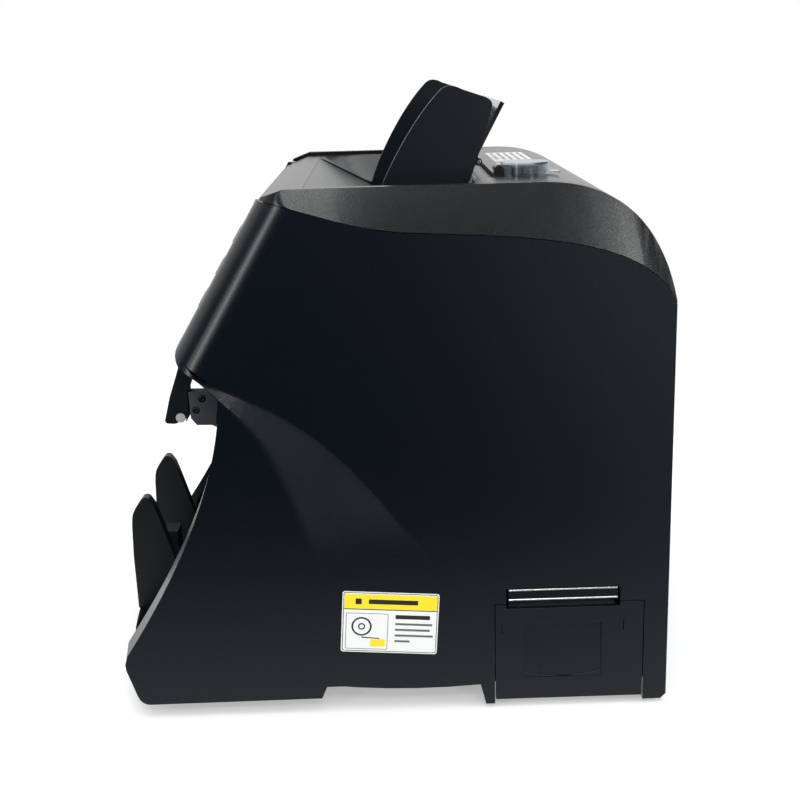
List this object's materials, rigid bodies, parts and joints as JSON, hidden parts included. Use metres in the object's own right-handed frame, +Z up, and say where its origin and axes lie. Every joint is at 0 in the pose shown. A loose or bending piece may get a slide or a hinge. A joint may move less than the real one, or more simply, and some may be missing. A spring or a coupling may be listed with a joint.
{
  "type": "banknote counter",
  "caption": "Desktop banknote counter with sloping front panel, top hopper with guide wings and folding back plate, front stacker and receipt printer in the side.",
  "frame": {"origin": "centre of the bounding box at table height", "axes": "+X across the machine to the printer side, +Y from the stacker at the front to the rear cover, +Z up"},
  "size_m": [0.28, 0.3108, 0.3381],
  "materials": {
    "dark_casing": "satin, finely textured",
    "grey_top": "satin, finely textured",
    "black_plastic": "satin",
    "smoked_plastic": "glossy, smoked",
    "clear_plastic": "clear, moulded",
    "zinc_steel": "zinc plated",
    "ground_steel": "ground",
    "motor_steel": "satin",
    "roller_rubber": "matt",
    "blade_plastic": "satin",
    "white_nylon": "satin",
    "grey_plastic": "satin",
    "circuit_board": "glossy lacquer",
    "red_plastic": "glossy",
    "paper": "matt paper",
    "label_film": "matt print",
    "foot_rubber": "matt",
    "head_ceramic": "satin"
  },
  "bodies": {
    "machine": {"right_side_cover": "dark_casing", "left_side_cover": "dark_casing", "top_cover": "grey_top", "front_panel": "dark_casing", "rear_cover": "dark_casing", "base_plate": "zinc_steel", "stacker_tray": "dark_casing", "stacker_fins": "black_plastic", "stacker_back": "dark_casing", "hopper_bed": "grey_top", "note_guides": "zinc_steel", "left_frame": "zinc_steel", "right_frame": "zinc_steel", "cross_rods": "ground_steel", "sensor_bars": "black_plastic", "drive_motor": "motor_steel", "drive_belts": "roller_rubber", "retard_roller": "roller_rubber", "flap_pin": "ground_steel", "display_window": "smoked_plastic", "display_module": "black_plastic", "main_board": "circuit_board", "power_supply": "circuit_board", "fan_frame": "black_plastic", "power_inlet": "black_plastic", "printer_frame": "black_plastic", "door_pin": "ground_steel", "print_head": "head_ceramic", "tear_bar": "ground_steel", "nose_arms": "black_plastic", "end_blocks": "black_plastic", "feet_and_screws": "foot_rubber", "labels": "label_film"},
    "motor": {"motor_pulley": "ground_steel"},
    "pickup": {"pickup_shaft": "ground_steel", "pickup_rollers": "roller_rubber"},
    "feed": {"feed_shaft": "ground_steel", "feed_rollers": "roller_rubber"},
    "transport": {"transport_shaft": "ground_steel", "transport_rollers": "roller_rubber"},
    "stacker": {"stacker_shaft": "ground_steel", "stacker_wheels": "blade_plastic"},
    "back_plate": {"hopper_flap": "smoked_plastic"},
    "left_wing": {"left_guide_wing": "smoked_plastic"},
    "right_wing": {"right_guide_wing": "smoked_plastic"},
    "pinion": {"guide_pinion": "white_nylon"},
    "fan": {"fan_rotor": "black_plastic"},
    "rocker": {"power_switch": "red_plastic"},
    "door": {"printer_door": "dark_casing"},
    "platen": {"platen_roller": "roller_rubber"},
    "roll": {"paper_roll": "paper"},
    "clear_cover": {"knob_cover": "clear_plastic"},
    "knob": {"gap_knob": "grey_plastic"},
    "nose_rollers": {"arm_rollers": "grey_plastic"},
    "key1": {"key_1": "grey_plastic"},
    "key2": {"key_2": "grey_plastic"},
    "key3": {"key_3": "grey_plastic"},
    "key4": {"key_4": "grey_plastic"},
    "key5": {"key_5": "grey_plastic"},
    "key6": {"key_6": "grey_plastic"}
  },
  "joints": [
    {"name": "pickup_spin", "type": "hinge", "parent": "machine", "child": "pickup", "pos_m": [0, 0.05815, 0.26191], "axis": [1, 0, 0], "continuous": true},
    {"name": "feed_spin", "type": "hinge", "parent": "machine", "child": "feed", "pos_m": [0, 0.03993, 0.23083], "axis": [1, 0, 0], "continuous": true},
    {"name": "transport_spin", "type": "hinge", "parent": "machine", "child": "transport", "pos_m": [0, 0.01586, 0.19153], "axis": [1, 0, 0], "continuous": true},
    {"name": "stacker_spin", "type": "hinge", "parent": "machine", "child": "stacker", "pos_m": [0, -0.0536, 0.112], "axis": [1, 0, 0], "continuous": true},
    {"name": "motor_spin", "type": "hinge", "parent": "machine", "child": "motor", "pos_m": [-0.115, -0.0136, 0.075], "axis": [1, 0, 0], "continuous": true},
    {"name": "back_plate_fold", "type": "hinge", "parent": "machine", "child": "back_plate", "pos_m": [0, 0.05983, 0.2951], "axis": [1, 0, 0], "range_deg": [0, 110]},
    {"name": "right_wing_slide", "type": "slide", "parent": "machine", "child": "right_wing", "axis": [-1, 0, 0], "range_m": [0, 0.038]},
    {"name": "left_wing_slide", "type": "slide", "parent": "machine", "child": "left_wing", "axis": [1, 0, 0], "range_m": [0, 0.038]},
    {"name": "pinion_turn", "type": "hinge", "parent": "machine", "child": "pinion", "pos_m": [0, -0.00002, 0.26226], "axis": [0, 0.4695, 0.8829], "range_deg": [0, 303]},
    {"name": "key_1_press", "type": "slide", "parent": "machine", "child": "key1", "axis": [0, 0.8553, -0.5182], "range_m": [0, 0.0008], "stiffness_N_per_m": 300},
    {"name": "key_2_press", "type": "slide", "parent": "machine", "child": "key2", "axis": [0, 0.8553, -0.5182], "range_m": [0, 0.0008], "stiffness_N_per_m": 300},
    {"name": "key_3_press", "type": "slide", "parent": "machine", "child": "key3", "axis": [0, 0.8553, -0.5182], "range_m": [0, 0.0008], "stiffness_N_per_m": 300},
    {"name": "key_4_press", "type": "slide", "parent": "machine", "child": "key4", "axis": [0, 0.8553, -0.5182], "range_m": [0, 0.0008], "stiffness_N_per_m": 300},
    {"name": "key_5_press", "type": "slide", "parent": "machine", "child": "key5", "axis": [0, 0.8553, -0.5182], "range_m": [0, 0.0008], "stiffness_N_per_m": 300},
    {"name": "key_6_press", "type": "slide", "parent": "machine", "child": "key6", "axis": [0, 0.8553, -0.5182], "range_m": [0, 0.0008], "stiffness_N_per_m": 300},
    {"name": "fan_spin", "type": "hinge", "parent": "machine", "child": "fan", "pos_m": [-0.06, 0.1374, 0.15], "axis": [0, 1, 0], "continuous": true},
    {"name": "rocker_tilt", "type": "hinge", "parent": "machine", "child": "rocker", "pos_m": [-0.092, 0.1472, 0.103], "axis": [1, 0, 0], "range_deg": [0, 15]},
    {"name": "door_open", "type": "hinge", "parent": "machine", "child": "door", "pos_m": [0.1342, 0.09765, 0.01], "axis": [0, 1, 0], "range_deg": [0, 75]},
    {"name": "platen_spin", "type": "hinge", "parent": "door", "child": "platen", "pos_m": [0.1295, 0.09765, 0.0555], "axis": [0, 1, 0], "continuous": true},
    {"name": "roll_spin", "type": "hinge", "parent": "machine", "child": "roll", "pos_m": [0.092, 0.09765, 0.0353], "axis": [0, 1, 0], "continuous": true},
    {"name": "clear_cover_lift", "type": "hinge", "parent": "machine", "child": "clear_cover", "pos_m": [0.086, 0.0687, 0.2933], "axis": [1, 0, 0], "range_deg": [0, 90]},
    {"name": "knob_turn", "type": "hinge", "parent": "machine", "child": "knob", "pos_m": [0.086, 0.0829, 0.29], "axis": [0, 0, 1], "range_deg": [-150, 150]},
    {"name": "nose_roller_spin", "type": "hinge", "parent": "machine", "child": "nose_rollers", "pos_m": [0.115, -0.1072, 0.1682], "axis": [1, 0, 0], "continuous": true}
  ],
  "couplings": [
    {"joint": "feed_spin", "follows": "pickup_spin", "ratio": 1},
    {"joint": "transport_spin", "follows": "pickup_spin", "ratio": 1},
    {"joint": "stacker_spin", "follows": "pickup_spin", "ratio": 1},
    {"joint": "motor_spin", "follows": "pickup_spin", "ratio": 1},
    {"joint": "left_wing_slide", "follows": "right_wing_slide", "ratio": 1},
    {"joint": "pinion_turn", "follows": "right_wing_slide", "rad_per_m": 138.89}
  ]
}
